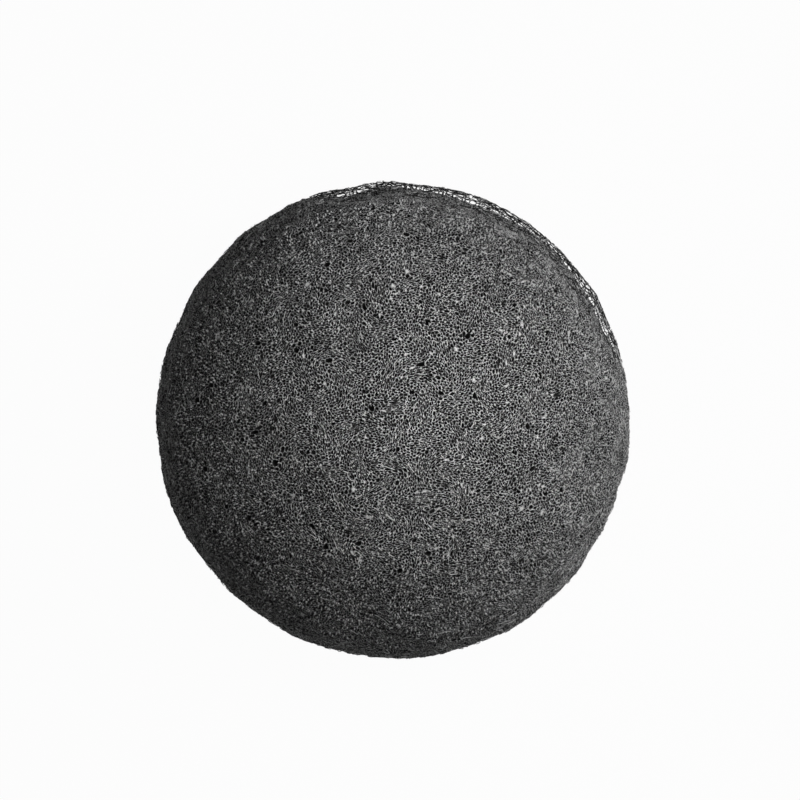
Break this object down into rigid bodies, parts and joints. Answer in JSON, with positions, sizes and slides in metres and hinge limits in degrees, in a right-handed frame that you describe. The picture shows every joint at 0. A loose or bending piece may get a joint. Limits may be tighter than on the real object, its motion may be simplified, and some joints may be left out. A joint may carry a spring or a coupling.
{
  "type": "konjac sponge",
  "caption": "Half-ball facial sponge of open charcoal foam with a flat back. It squashes towards the back when pressed and springs back.",
  "frame": {"origin": "centre of the flat back, on the face that the sponge rests on", "axes": "+Z out of the top of the dome, along the axis of the half-ball"},
  "size_m": [0.08, 0.08, 0.038],
  "materials": {
    "skin_foam": "matte",
    "back_foam": "matte",
    "core_foam": "matte"
  },
  "bodies": {
    "back": {"back_skin": "back_foam", "rim_skin": "skin_foam", "foam_core": "core_foam"},
    "dome": {"dome_skin": "skin_foam"}
  },
  "joints": [
    {"name": "press", "type": "slide", "parent": "back", "child": "dome", "axis": [0, 0, 1], "range_m": [-0.018, 0], "stiffness_N_per_m": 550, "deforming": ["rim_skin", "foam_core"]}
  ]
}
